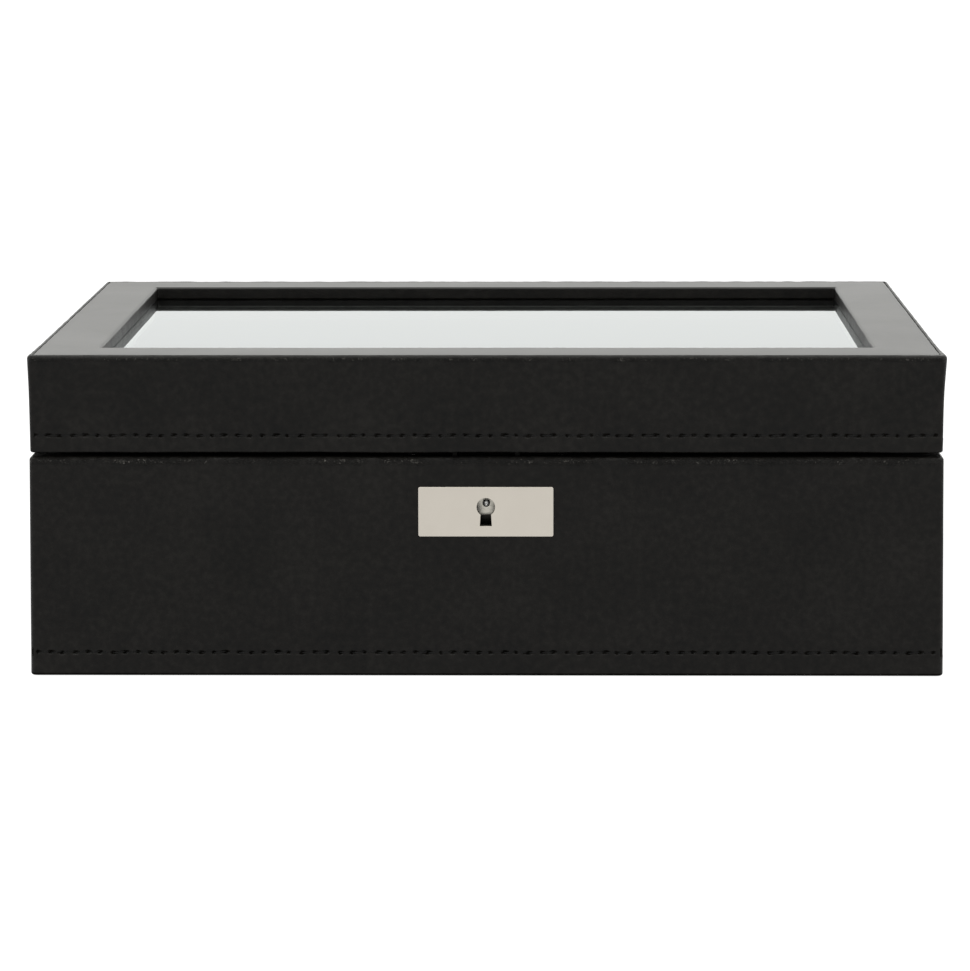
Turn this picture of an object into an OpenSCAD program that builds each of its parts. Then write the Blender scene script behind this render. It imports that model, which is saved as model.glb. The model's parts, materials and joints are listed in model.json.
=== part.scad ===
// Leather covered watch box with a glass window in its hinged lid, eight cells with
// lift-out cushions, two butt hinges and a small two-staple box lock.
// Millimetres. The base stands on z = 0, the front faces -Y, the lid swings up and back.

/* [Body] */
// Outside width of the base and of the lid
body_w = 292; // [200:1:380]
// Outside depth of the base and of the lid
body_d = 250; // [180:1:320]
// Height of the base up to its rim
base_h = 70.8; // [62:0.2:100]
// Gap between rim and lid, which the two hinge leaves set
rim_gap = 1.6; // [1.5:0.1:2.4]
// Height of the lid
lid_h = 31.2; // [26:0.2:50]
// Radius of the upright corners
corner_r = 1.5; // [0.5:0.1:4]
/* [Walls] */
// Thickness of the leather skins
leather_t = 1; // [0.6:0.1:1.2]
// Thickness of the boards of the base
board_t = 12; // [12:0.5:16]
// Thickness of the wall boards of the lid
lid_wall_t = 10; // [9:0.5:11]
// Thickness of the suede wrapped panels inside the base
panel_t = 2.5; // [1.5:0.1:4]
// How far those panels stand above the rim as a collar for the lid
collar_h = 4; // [2:0.5:6]
// Thickness of the floor board
floor_t = 6; // [4:0.5:9]
// Thickness of the padded floor
pad_t = 3.2; // [2:0.1:5]
// Thickness of the felt under the base
felt_t = 0.8; // [0.6:0.1:1.5]
/* [Window] */
// Width of the covered rails at the front and the back of the window
rail_w = 23.4; // [20:0.2:40]
// Width of the covered rails at the two sides of the window
side_rail_w = 21.2; // [20:0.2:40]
// Depth of the glass below the top of the lid
glass_drop = 4.5; // [4.2:0.1:7]
// Thickness of the glass
glass_t = 3; // [2:0.5:4]
// Width of the rebate and of the beads that hold the glass
bead_w = 6; // [4:0.5:9]
/* [Cells] */
// Cells across the box
cells_x = 4; // [4:1:4]
// Thickness of the dividers
divider_t = 3; // [2:0.5:4]
// Height of the top of the dividers
divider_top = 58; // [40:1:66]
// Size of a cushion across the box
cushion_w = 55; // [45:1:60]
// Size of a cushion from front to back
cushion_l = 84; // [60:1:95]
// Height of a cushion
cushion_h = 50; // [35:1:54]
/* [Hinges] */
// Distance of each hinge from the middle
hinge_x = 85; // [50:1:110]
// Length of a hinge
hinge_l = 39.5; // [30:0.5:50]
// Radius of the knuckles
knuckle_r = 1.75; // [1.5:0.05:1.8]
// Radius of the hinge pins
pin_r = 0.75; // [0.6:0.05:0.8]
// Opening between pin and knuckle, all round
pin_gap = 0.05; // [0.03:0.01:0.08]
// Distance of the hinge line behind the back face
hinge_back = 1; // [0.9:0.1:1.5]
/* [Lock] */
// Width of the lock plate
plate_w = 43.2; // [40:0.2:60]
// Height of the lock plate
plate_h = 16; // [14:0.2:24]
// Thickness of the lock plate
plate_t = 0.8; // [0.6:0.1:1.5]
// Height of the middle of the lock plate
plate_z = 53.4; // [52:0.1:56]
// Radius of the round end of the keyhole
keyhole_r = 2.9; // [2.2:0.1:3.2]
// Height of the middle of the round end of the keyhole
keyhole_z = 54.9; // [53:0.1:56]
// Length of the keyhole below that middle
keyhole_drop = 6.1; // [5:0.1:7]
// Travel of the lock bolt
bolt_travel = 5; // [4:0.5:5]

/* [Hidden] */
$fn = 48;
eps = 0.01;
leather_c = [0.035, 0.034, 0.032];
board_c = [0.62, 0.48, 0.33];
suede_c = [0.13, 0.13, 0.13];
cushion_c = [0.17, 0.165, 0.16];
felt_c = [0.06, 0.06, 0.06];
nickel_c = [0.78, 0.76, 0.72];
steel_c = [0.6, 0.6, 0.62];
glass_c = [0.8, 0.88, 0.86, 0.35];

// Heights and faces of the two halves
knuckle_proud = hinge_back + knuckle_r;
body_y = (plate_t - knuckle_proud) / 2;
front_y = body_y - body_d / 2;
back_y = body_y + body_d / 2;
half_w = body_w / 2;
lid_z = base_h + rim_gap;
total_h = lid_z + lid_h;
turn_t = 0.8;
board_z = felt_t + turn_t;
floor_z = board_z + floor_t;
pad_z = floor_z + pad_t;
board_in = leather_t + board_t;
panel_in = board_in + panel_t;
felt_inset = 2.5;

// Lid, from the outside inwards
wall_in = leather_t + lid_wall_t;
lining_t = 1;
frame_t = 10;
frame_z = total_h - leather_t - frame_t;
lip_in = rail_w - leather_t;
rebate_in = lip_in - bead_w;
rail_step = rail_w - side_rail_w;
glass_z = total_h - glass_drop - glass_t;
glass_play = 0.5;
top_seam = 0.2;

// Cells and cushions
cell_w = (body_w - 2 * panel_in - (cells_x - 1) * divider_t) / cells_x;
cell_d = (body_d - 2 * panel_in - divider_t) / 2;
divider_play = 0.05;
cushion_play = 0.15;
cushion_r = 20;
cushion_cap = 2;
cushion_cap_in = 1.2;

// Hinge line and leaves
axis_y = back_y + hinge_back;
axis_z = base_h + rim_gap / 2;
leaf_t = 0.7;
leaf_d = 9;
knuckle_gap = 0.25;
knuckle_l = (hinge_l - 2 * knuckle_gap) / 3;
knuckle_room = knuckle_r + 0.3;
skin_room = knuckle_r + 0.35;
hinge_screw_y = back_y - 5.5;
hinge_screw_step = 13;
hinge_head_r = 1.7;
screw_head_h = 0.45;
screw_r = 0.9;
screw_l = 8;
screw_room = 0.03;

// Lock, measured from the front face
case_w = 42;
case_y0 = 3;
case_y1 = 11;
case_z0 = 44.4;
case_t = 0.8;
selvage_w = 52;
selvage_d = 9.2;
selvage_t = 0.8;
case_z1 = base_h - selvage_t;
lock_y = front_y + (case_y0 + case_y1) / 2 + 0.4;
staple_x = 10;
staple_t = 1.5;
staple_d = 5;
staple_z = base_h - 10.3;
window_d = 3;
window_z0 = base_h - 8.8;
window_h = 4.5;
slot_w = 3;
slot_d = 7;
strike_w = 34;
strike_d = 7;
strike_t = 0.8;
bolt_t = 1.6;
bar_z = base_h - 13.6;
bar_h = 2.6;
finger_z = base_h - 7.9;
finger_h = 2.6;
arm_w = 2.8;
finger_l = 4.7;
finger_gap = 0.75;
lock_screw_x = 23.6;
strike_screw_x = 14.3;
lock_head_r = 1.5;
post_r = 1.2;
post_l = 3.3;
post_dome_r = 3;
prong_x = 17;
prong_r = 0.7;
prong_l = 1.9;

// ---- shared shapes ----

// A flat rectangle with round corners, about the origin
module round_rect(w, d, r) {
    square([w - 2 * r, d], center = true);
    square([w, d - 2 * r], center = true);
    for (sx = [-1, 1], sy = [-1, 1])
        translate([sx * (w / 2 - r), sy * (d / 2 - r)])
            circle(r = r);
}

// A block with round upright corners, set in from the outside of the box
module block(inset, z0, z1, r) {
    translate([0, body_y, z0])
        linear_extrude(height = z1 - z0)
            round_rect(body_w - 2 * inset, body_d - 2 * inset, r);
}

// A sharp cornered block set in from the outside of the box
module room(inset, z0, z1) {
    translate([-half_w + inset, front_y + inset, z0])
        cube([body_w - 2 * inset, body_d - 2 * inset, z1 - z0]);
}

// The same for the window, whose side rails have a width of their own
module window_room(inset, z0, z1) {
    side_in = inset - rail_step;
    translate([-half_w + side_in, front_y + inset, z0])
        cube([body_w - 2 * side_in, body_d - 2 * inset, z1 - z0]);
}

// A wall board along one side: "front", "back", "left" or "right"
module wall_along(side, out, thick, z0, z1) {
    long = body_w - 2 * out;
    short = body_d - 2 * (out + thick);
    if (side == "front")
        translate([-long / 2, front_y + out, z0])
            cube([long, thick, z1 - z0]);
    if (side == "back")
        translate([-long / 2, back_y - out - thick, z0])
            cube([long, thick, z1 - z0]);
    if (side == "left")
        translate([-half_w + out, front_y + out + thick, z0])
            cube([thick, short, z1 - z0]);
    if (side == "right")
        translate([half_w - out - thick, front_y + out + thick, z0])
            cube([thick, short, z1 - z0]);
}

// A rod along X about a point of the hinge line
module hinge_rod(x0, x1, r) {
    translate([x0, axis_y, axis_z])
        rotate([0, 90, 0])
            cylinder(r = r, h = x1 - x0);
}

// The room that the knuckles need in the leather skins
module knuckle_notches() {
    for (s = [-1, 1])
        hinge_rod(s * hinge_x - hinge_l / 2 - 0.5, s * hinge_x + hinge_l / 2 + 0.5, skin_room);
}

// A flat headed screw with its head at the origin, pointing down
module screw(head_r) {
    translate([0, 0, -screw_head_h])
        cylinder(r = head_r, h = screw_head_h);
    translate([0, 0, -screw_l])
        cylinder(r = screw_r, h = screw_l - screw_head_h + eps);
}

// The hole that such a screw needs
module screw_hole(head_r) {
    translate([0, 0, -screw_head_h - screw_room])
        cylinder(r = head_r + screw_room, h = screw_head_h + 1);
    translate([0, 0, -screw_l - screw_room])
        cylinder(r = screw_r + screw_room, h = screw_l);
}

// Places of the three screws of each hinge leaf, up = 1 for the lid
module at_hinge_screws(up) {
    z = up ? lid_z - leaf_t : base_h + leaf_t;
    for (s = [-1, 1], i = [-1, 0, 1])
        translate([s * hinge_x + i * hinge_screw_step, hinge_screw_y, z])
            rotate([up ? 180 : 0, 0, 0])
                children();
}

// Places of the two screws of the lock and of the two of its strike
module at_lock_screws() {
    for (s = [-1, 1])
        translate([s * lock_screw_x, lock_y, base_h])
            children();
}

module at_strike_screws() {
    for (s = [-1, 1])
        translate([s * strike_screw_x, lock_y, lid_z])
            rotate([180, 0, 0])
                children();
}

// The outline of the keyhole: a circle over a slot that widens downwards
module keyhole_outline(grow) {
    circle(r = keyhole_r + grow);
    polygon([
        [-1.65 - grow, 0], [1.65 + grow, 0],
        [1.9 + grow, -keyhole_drop - grow], [-1.9 - grow, -keyhole_drop - grow]
    ]);
}

// The keyhole cut along Y, from y0 to y1 behind the front face
module keyhole(grow, y0, y1) {
    translate([0, front_y + y1, keyhole_z])
        rotate([90, 0, 0])
            linear_extrude(height = y1 - y0)
                keyhole_outline(grow);
}

// The two prongs of the lock plate, or the holes for them
module prongs(r, l) {
    for (s = [-1, 1])
        translate([s * prong_x, front_y + l, plate_z])
            rotate([90, 0, 0])
                cylinder(r = r, h = l + eps);
}

// The bed of the top plate of the lock
module selvage_block(z0, z1, grow) {
    translate([-selvage_w / 2 - grow, lock_y - selvage_d / 2 - grow, z0])
        cube([selvage_w + 2 * grow, selvage_d + 2 * grow, z1 - z0]);
}

// The bed of the strike in the lid
module strike_block(z0, z1, grow) {
    translate([-strike_w / 2 - grow, lock_y - strike_d / 2 - grow, z0])
        cube([strike_w + 2 * grow, strike_d + 2 * grow, z1 - z0]);
}

// The slots that take the staples
module staple_slots(z0, z1) {
    for (s = [-1, 1])
        translate([s * staple_x - slot_w / 2, lock_y - slot_d / 2, z0])
            cube([slot_w, slot_d, z1 - z0]);
}

// ---- base ----

module base_felt() {
    color(felt_c)
        block(felt_inset, 0, felt_t, corner_r);
}

module base_floor_board() {
    color(board_c)
        room(board_in, board_z, floor_z);
}

module base_board_front() {
    color(board_c)
        difference() {
            wall_along("front", leather_t, board_t, board_z, base_h - leather_t);
            translate([-case_w / 2 - 0.2, front_y + case_y0, case_z0 - 0.2])
                cube([case_w + 0.4, case_y1 - case_y0 + case_t + 0.2, base_h - case_z0]);
            keyhole(0.7, 0, case_y0 + eps);
            prongs(prong_r + screw_room, prong_l + 0.1);
            at_lock_screws()
                screw_hole(lock_head_r);
        }
}

module base_board_back() {
    color(board_c)
        difference() {
            wall_along("back", leather_t, board_t, board_z, base_h - leather_t);
            at_hinge_screws(false)
                screw_hole(screw_r);
        }
}

module base_board_left() {
    color(board_c)
        wall_along("left", leather_t, board_t, board_z, base_h - leather_t);
}

module base_board_right() {
    color(board_c)
        wall_along("right", leather_t, board_t, board_z, base_h - leather_t);
}

// One leather skin: round the outside, over the rim and a little way under the boards
module base_cover() {
    color(leather_c)
        difference() {
            block(0, felt_t, base_h, corner_r);
            room(leather_t, board_z, base_h - leather_t);
            room(board_in, felt_t - 1, base_h + 1);
            keyhole(0.5, -1, leather_t + 1);
            prongs(prong_r + screw_room, prong_l + 0.1);
            selvage_block(base_h - leather_t - 1, base_h + 1, screw_room);
            knuckle_notches();
            at_hinge_screws(false)
                screw_hole(screw_r);
        }
}

module base_panel_front() {
    color(suede_c)
        wall_along("front", board_in, panel_t, floor_z, base_h + collar_h);
}

module base_panel_back() {
    color(suede_c)
        wall_along("back", board_in, panel_t, floor_z, base_h + collar_h);
}

module base_panel_left() {
    color(suede_c)
        wall_along("left", board_in, panel_t, floor_z, base_h + collar_h);
}

module base_panel_right() {
    color(suede_c)
        wall_along("right", board_in, panel_t, floor_z, base_h + collar_h);
}

module base_floor_pad() {
    color(suede_c)
        room(panel_in, floor_z, pad_z);
}

// ---- dividers, half lapped where they cross ----

module divider_long() {
    color(suede_c)
        difference() {
            translate([-half_w + panel_in, body_y - divider_t / 2, pad_z])
                cube([body_w - 2 * panel_in, divider_t, divider_top - pad_z]);
            for (i = [1 : cells_x - 1])
                cross_slot(cross_x(i), (pad_z + divider_top) / 2, divider_top + 1);
        }
}

function cross_x(i) = -half_w + panel_in + i * cell_w + (i - 0.5) * divider_t;

module cross_slot(x, z0, z1) {
    w = divider_t + 2 * divider_play;
    translate([x - w / 2, body_y - w / 2, z0])
        cube([w, w, z1 - z0]);
}

module divider_cross(i) {
    difference() {
        translate([cross_x(i) - divider_t / 2, front_y + panel_in, pad_z])
            cube([divider_t, body_d - 2 * panel_in, divider_top - pad_z]);
        cross_slot(cross_x(i), pad_z - 1, (pad_z + divider_top) / 2);
    }
}

module divider_cross_1() {
    color(suede_c)
        divider_cross(1);
}

module divider_cross_2() {
    color(suede_c)
        divider_cross(2);
}

module divider_cross_3() {
    color(suede_c)
        divider_cross(3);
}

// ---- cushions: a rounded roll with an inset cap at each end ----

module cushion_slice(inset, w) {
    rotate([90, 0, 90])
        translate([0, 0, -w / 2])
            linear_extrude(height = w)
                round_rect(cushion_l - 2 * inset, cushion_h - 2 * inset, cushion_r - inset);
}

// column 0 to 3 from the left, row 0 in front and row 1 behind
module cushion_in(column, row) {
    x = -half_w + panel_in + cell_w / 2 + column * (cell_w + divider_t);
    y = body_y + (row - 0.5) * (cell_d + divider_t);
    translate([x, y, pad_z + cushion_play + cushion_h / 2]) {
        cushion_slice(0, cushion_w - 2 * cushion_cap);
        cushion_slice(cushion_cap_in, cushion_w);
    }
}

module cushion_1() {
    color(cushion_c)
        cushion_in(0, 0);
}

module cushion_2() {
    color(cushion_c)
        cushion_in(1, 0);
}

module cushion_3() {
    color(cushion_c)
        cushion_in(2, 0);
}

module cushion_4() {
    color(cushion_c)
        cushion_in(3, 0);
}

module cushion_5() {
    color(cushion_c)
        cushion_in(0, 1);
}

module cushion_6() {
    color(cushion_c)
        cushion_in(1, 1);
}

module cushion_7() {
    color(cushion_c)
        cushion_in(2, 1);
}

module cushion_8() {
    color(cushion_c)
        cushion_in(3, 1);
}

// ---- hinges: the base leaf carries the middle knuckle, the lid leaf the outer two ----

module base_leaf(s) {
    x = s * hinge_x;
    difference() {
        union() {
            translate([x - hinge_l / 2, back_y - leaf_d, base_h])
                cube([hinge_l, leaf_d + hinge_back, leaf_t]);
            hinge_rod(x - knuckle_l / 2, x + knuckle_l / 2, knuckle_r);
        }
        hinge_rod(x - hinge_l, x - knuckle_l / 2, knuckle_room);
        hinge_rod(x + knuckle_l / 2, x + hinge_l, knuckle_room);
        hinge_rod(x - hinge_l, x + hinge_l, pin_r + pin_gap);
        at_hinge_screws(false)
            screw_hole(hinge_head_r);
    }
}

module lid_leaf(s) {
    x = s * hinge_x;
    inner = knuckle_l / 2 + knuckle_gap;
    difference() {
        union() {
            translate([x - hinge_l / 2, back_y - leaf_d, lid_z - leaf_t])
                cube([hinge_l, leaf_d + hinge_back, leaf_t]);
            hinge_rod(x - hinge_l / 2, x - inner, knuckle_r);
            hinge_rod(x + inner, x + hinge_l / 2, knuckle_r);
        }
        hinge_rod(x - inner, x + inner, knuckle_room);
        hinge_rod(x - hinge_l, x + hinge_l, pin_r + pin_gap);
        at_hinge_screws(true)
            screw_hole(hinge_head_r);
    }
}

module hinge_base_leaf_left() {
    color(nickel_c)
        base_leaf(-1);
}

module hinge_base_leaf_right() {
    color(nickel_c)
        base_leaf(1);
}

module hinge_lid_leaf_left() {
    color(nickel_c)
        lid_leaf(-1);
}

module hinge_lid_leaf_right() {
    color(nickel_c)
        lid_leaf(1);
}

module hinge_pin_left() {
    color(steel_c)
        hinge_rod(-hinge_x - hinge_l / 2, -hinge_x + hinge_l / 2, pin_r);
}

module hinge_pin_right() {
    color(steel_c)
        hinge_rod(hinge_x - hinge_l / 2, hinge_x + hinge_l / 2, pin_r);
}

module hinge_screws_base() {
    color(steel_c)
        at_hinge_screws(false)
            screw(hinge_head_r);
}

module hinge_screws_lid() {
    color(steel_c)
        at_hinge_screws(true)
            screw(hinge_head_r);
}

// ---- lock ----

module lock_plate() {
    color(nickel_c)
        difference() {
            union() {
                translate([0, front_y, plate_z])
                    rotate([90, 0, 0])
                        linear_extrude(height = plate_t)
                            round_rect(plate_w, plate_h, 0.6);
                prongs(prong_r, prong_l);
            }
            keyhole(0, -plate_t - 1, 1);
        }
}

// Open at the back, where the cap closes it
module lock_case() {
    color(nickel_c)
        difference() {
            translate([-case_w / 2, front_y + case_y0, case_z0])
                cube([case_w, case_y1 - case_y0, case_z1 - case_z0]);
            translate([-case_w / 2 + case_t, front_y + case_y0 + case_t, case_z0 + case_t])
                cube([case_w - 2 * case_t, case_y1 - case_y0, case_z1 - case_z0 - 2 * case_t]);
            keyhole(0.2, 1, case_y0 + 2);
            staple_slots(case_z1 - 2, case_z1 + 1);
        }
}

module lock_cap() {
    color(nickel_c)
        translate([-case_w / 2, front_y + case_y1, case_z0])
            cube([case_w, case_t, case_z1 - case_z0]);
}

// The pin that centres the key
module lock_post() {
    color(steel_c)
        translate([0, front_y + case_y1, keyhole_z])
            rotate([90, 0, 0])
                intersection() {
                    cylinder(r = post_r, h = post_l);
                    translate([0, 0, post_l - post_dome_r])
                        sphere(r = post_dome_r);
                }
}

module lock_selvage() {
    color(nickel_c)
        difference() {
            selvage_block(base_h - selvage_t, base_h, 0);
            staple_slots(base_h - 2, base_h + 1);
            at_lock_screws()
                screw_hole(lock_head_r);
        }
}

// A leaf that presses up on the bolt and keeps it where the key leaves it
module lock_spring() {
    foot_x = -case_w / 2 + case_t;
    foot_z = case_z0 + 1;
    spring_d = 3;
    spring_t = 0.4;
    color(steel_c)
        translate([foot_x, lock_y - spring_d / 2, foot_z]) {
            cube([spring_t, spring_d, 3.6]);
            translate([spring_t, 0, 3.2])
                rotate([0, -40, 0])
                    cube([12.4, spring_d, spring_t]);
        }
}

module lock_screws() {
    color(steel_c)
        at_lock_screws()
            screw(lock_head_r);
}

// A bar with two arms; their fingers pass through the staples when it slides along +X
module lock_bolt() {
    tip = staple_t / 2 + finger_gap;
    left_x = -staple_x - tip - finger_l - arm_w;
    right_x = staple_x - tip - finger_l - arm_w;
    color(steel_c)
        translate([0, lock_y - bolt_t / 2, 0])
            difference() {
                union() {
                    translate([left_x, 0, bar_z])
                        cube([right_x + arm_w - left_x, bolt_t, bar_h]);
                    for (x = [left_x, right_x]) {
                        translate([x, 0, bar_z])
                            cube([arm_w, bolt_t, finger_z + finger_h - bar_z]);
                        translate([x, 0, finger_z])
                            cube([arm_w + finger_l, bolt_t, finger_h]);
                    }
                }
                translate([-bolt_travel / 2 - 2, -1, bar_z - 1])
                    cube([4, bolt_t + 2, 2.2]);
            }
}

// A plate let into the lid with two staples that reach down into the lock
module lock_strike() {
    color(nickel_c)
        difference() {
            union() {
                strike_block(lid_z, lid_z + strike_t, 0);
                for (s = [-1, 1])
                    translate([s * staple_x - staple_t / 2, lock_y - staple_d / 2, staple_z])
                        cube([staple_t, staple_d, lid_z + strike_t - staple_z]);
            }
            for (s = [-1, 1])
                translate([s * staple_x - staple_t, lock_y - window_d / 2, window_z0])
                    cube([2 * staple_t, window_d, window_h]);
            at_strike_screws()
                screw_hole(lock_head_r);
        }
}

module strike_screws() {
    color(steel_c)
        at_strike_screws()
            screw(lock_head_r);
}

// ---- lid ----

module lid_wall_front() {
    color(board_c)
        difference() {
            wall_along("front", leather_t, lid_wall_t, lid_z + leather_t, frame_z);
            at_strike_screws()
                screw_hole(screw_r);
        }
}

module lid_wall_back() {
    color(board_c)
        difference() {
            wall_along("back", leather_t, lid_wall_t, lid_z + leather_t, frame_z);
            at_hinge_screws(true)
                screw_hole(screw_r);
        }
}

module lid_wall_left() {
    color(board_c)
        wall_along("left", leather_t, lid_wall_t, lid_z + leather_t, frame_z);
}

module lid_wall_right() {
    color(board_c)
        wall_along("right", leather_t, lid_wall_t, lid_z + leather_t, frame_z);
}

// The top board with the window cut out of it and a rebate for the glass from below
module lid_frame_board() {
    color(board_c)
        difference() {
            room(leather_t, frame_z, total_h - leather_t);
            window_room(lip_in, frame_z - 1, total_h);
            window_room(rebate_in, frame_z - 1, total_h - glass_drop);
        }
}

// The leather round the sides of the lid, turned in under its walls
module lid_cover() {
    color(leather_c)
        difference() {
            block(0, lid_z, total_h, corner_r);
            room(leather_t, lid_z + leather_t, total_h + 1);
            room(wall_in + lining_t, lid_z - 1, total_h);
            strike_block(lid_z - 1, lid_z + leather_t + 1, screw_room);
            knuckle_notches();
            at_hinge_screws(true)
                screw_hole(screw_r);
        }
}

// The leather on top, turned down the inside of the window as far as the glass
module lid_top_cover() {
    color(leather_c)
        difference() {
            union() {
                room(leather_t + top_seam, total_h - leather_t, total_h);
                window_room(lip_in, total_h - glass_drop, total_h - leather_t + eps);
            }
            window_room(rail_w, total_h - glass_drop - 1, total_h + 1);
        }
}

// Suede over the inside of the walls and the underside of the top board and beads
module lid_lining() {
    color(suede_c)
        difference() {
            room(wall_in, lid_z + leather_t, frame_z);
            room(wall_in + lining_t, lid_z, frame_z - lining_t);
            window_room(lip_in, lid_z, frame_z + 1);
        }
}

module lid_glass() {
    color(glass_c)
        window_room(rebate_in + glass_play, glass_z, glass_z + glass_t);
}

// A bead of the window along one side
module bead_along(side) {
    long = body_w - 2 * (rebate_in - rail_step);
    short = body_d - 2 * lip_in;
    bead_h = glass_z - frame_z;
    if (side == "front")
        translate([-long / 2, front_y + rebate_in, frame_z])
            cube([long, bead_w, bead_h]);
    if (side == "back")
        translate([-long / 2, back_y - lip_in, frame_z])
            cube([long, bead_w, bead_h]);
    if (side == "left")
        translate([-long / 2, front_y + lip_in, frame_z])
            cube([bead_w, short, bead_h]);
    if (side == "right")
        translate([long / 2 - bead_w, front_y + lip_in, frame_z])
            cube([bead_w, short, bead_h]);
}

module glass_bead_front() {
    color(board_c)
        bead_along("front");
}

module glass_bead_back() {
    color(board_c)
        bead_along("back");
}

module glass_bead_left() {
    color(board_c)
        bead_along("left");
}

module glass_bead_right() {
    color(board_c)
        bead_along("right");
}

base_felt();
base_floor_board();
base_board_front();
base_board_back();
base_board_left();
base_board_right();
base_cover();
base_panel_front();
base_panel_back();
base_panel_left();
base_panel_right();
base_floor_pad();
divider_long();
divider_cross_1();
divider_cross_2();
divider_cross_3();
cushion_1();
cushion_2();
cushion_3();
cushion_4();
cushion_5();
cushion_6();
cushion_7();
cushion_8();
hinge_base_leaf_left();
hinge_base_leaf_right();
hinge_lid_leaf_left();
hinge_lid_leaf_right();
hinge_pin_left();
hinge_pin_right();
hinge_screws_base();
hinge_screws_lid();
lock_plate();
lock_case();
lock_cap();
lock_post();
lock_selvage();
lock_spring();
lock_screws();
lock_bolt();
lock_strike();
strike_screws();
lid_wall_front();
lid_wall_back();
lid_wall_left();
lid_wall_right();
lid_frame_board();
lid_cover();
lid_top_cover();
lid_lining();
lid_glass();
glass_bead_front();
glass_bead_back();
glass_bead_left();
glass_bead_right();
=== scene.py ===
import json
import math

import bmesh
import bpy
import numpy as np
from mathutils import Matrix, Vector, noise

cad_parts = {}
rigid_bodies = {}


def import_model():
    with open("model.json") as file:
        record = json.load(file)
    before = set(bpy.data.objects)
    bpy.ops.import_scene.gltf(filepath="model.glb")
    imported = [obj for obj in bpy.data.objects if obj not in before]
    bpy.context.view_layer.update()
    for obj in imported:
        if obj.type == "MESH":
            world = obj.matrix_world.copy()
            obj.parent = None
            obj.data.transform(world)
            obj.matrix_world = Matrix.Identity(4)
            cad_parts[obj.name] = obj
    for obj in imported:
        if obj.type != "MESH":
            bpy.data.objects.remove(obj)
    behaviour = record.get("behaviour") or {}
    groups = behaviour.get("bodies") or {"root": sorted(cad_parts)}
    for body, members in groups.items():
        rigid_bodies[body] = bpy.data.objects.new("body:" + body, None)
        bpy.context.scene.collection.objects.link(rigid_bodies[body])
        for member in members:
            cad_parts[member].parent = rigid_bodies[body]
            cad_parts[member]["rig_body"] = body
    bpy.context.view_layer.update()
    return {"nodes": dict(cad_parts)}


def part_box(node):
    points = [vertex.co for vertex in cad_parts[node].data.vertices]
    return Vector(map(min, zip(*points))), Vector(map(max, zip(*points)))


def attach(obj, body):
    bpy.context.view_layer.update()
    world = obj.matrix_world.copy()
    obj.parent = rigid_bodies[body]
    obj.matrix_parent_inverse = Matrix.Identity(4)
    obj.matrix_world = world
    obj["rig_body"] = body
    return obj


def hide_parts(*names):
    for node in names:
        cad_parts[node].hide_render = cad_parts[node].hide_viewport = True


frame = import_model()
MM = 0.001
NODES = frame["nodes"]


# ---------------------------------------------------------------- materials

def shader(name):
    """A new material, its tree, its Principled node and a coordinate output in metres."""
    mat = bpy.data.materials.new(name)
    mat.use_nodes = True
    tree = mat.node_tree
    bsdf = tree.nodes["Principled BSDF"]
    place = tree.nodes.new("ShaderNodeTexCoord").outputs["Object"]
    return mat, tree, bsdf, place


def stretch(tree, place, scale):
    """The coordinates scaled separately along X, Y and Z."""
    node = tree.nodes.new("ShaderNodeMapping")
    node.inputs["Scale"].default_value = scale
    tree.links.new(place, node.inputs["Vector"])
    return node.outputs["Vector"]


def noise_of(tree, place, scale, detail=3.0, rough=0.55, warp=0.0):
    node = tree.nodes.new("ShaderNodeTexNoise")
    node.inputs["Scale"].default_value = scale
    node.inputs["Detail"].default_value = detail
    node.inputs["Roughness"].default_value = rough
    node.inputs["Distortion"].default_value = warp
    tree.links.new(place, node.inputs["Vector"])
    return node.outputs["Fac"]


def cells_of(tree, place, scale, feature="DISTANCE_TO_EDGE"):
    node = tree.nodes.new("ShaderNodeTexVoronoi")
    node.feature = feature
    node.inputs["Scale"].default_value = scale
    tree.links.new(place, node.inputs["Vector"])
    return node.outputs["Distance"]


def remap(tree, value, low, high, to_low, to_high):
    node = tree.nodes.new("ShaderNodeMapRange")
    for key, number in zip(("From Min", "From Max", "To Min", "To Max"),
                           (low, high, to_low, to_high)):
        node.inputs[key].default_value = number
    tree.links.new(value, node.inputs["Value"])
    return node.outputs["Result"]


def combine(tree, kind, a, b):
    node = tree.nodes.new("ShaderNodeMath")
    node.operation = kind
    for slot, value in zip(node.inputs, (a, b)):
        if isinstance(value, (int, float)):
            slot.default_value = value
        else:
            tree.links.new(value, slot)
    return node.outputs[0]


def paint(tree, bsdf, value, *stops):
    """Base colour from a ramp: stops are (position, (r, g, b))."""
    ramp = tree.nodes.new("ShaderNodeValToRGB")
    points = ramp.color_ramp.elements
    while len(points) < len(stops):
        points.new(0.5)
    for point, (at, colour) in zip(points, stops):
        point.position = at
        point.color = (*colour, 1)
    tree.links.new(value, ramp.inputs["Fac"])
    tree.links.new(ramp.outputs["Color"], bsdf.inputs["Base Color"])
    return ramp


def bump(tree, bsdf, *layers):
    """Bumps on top of each other: (height, strength, depth in metres)."""
    below = None
    for height, strength, depth in layers:
        node = tree.nodes.new("ShaderNodeBump")
        node.inputs["Strength"].default_value = strength
        node.inputs["Distance"].default_value = depth
        tree.links.new(height, node.inputs["Height"])
        if below:
            tree.links.new(below, node.inputs["Normal"])
        below = node.outputs["Normal"]
    tree.links.new(below, bsdf.inputs["Normal"])


def band(tree, place, z, reach):
    """1 at a height in metres, falling to 0 at reach above and below it."""
    split = tree.nodes.new("ShaderNodeSeparateXYZ")
    tree.links.new(place, split.inputs[0])
    off = combine(tree, "ABSOLUTE", combine(tree, "SUBTRACT", split.outputs["Z"], z), 0.0)
    return remap(tree, off, reach, 0.25 * reach, 0.0, 1.0)


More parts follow.
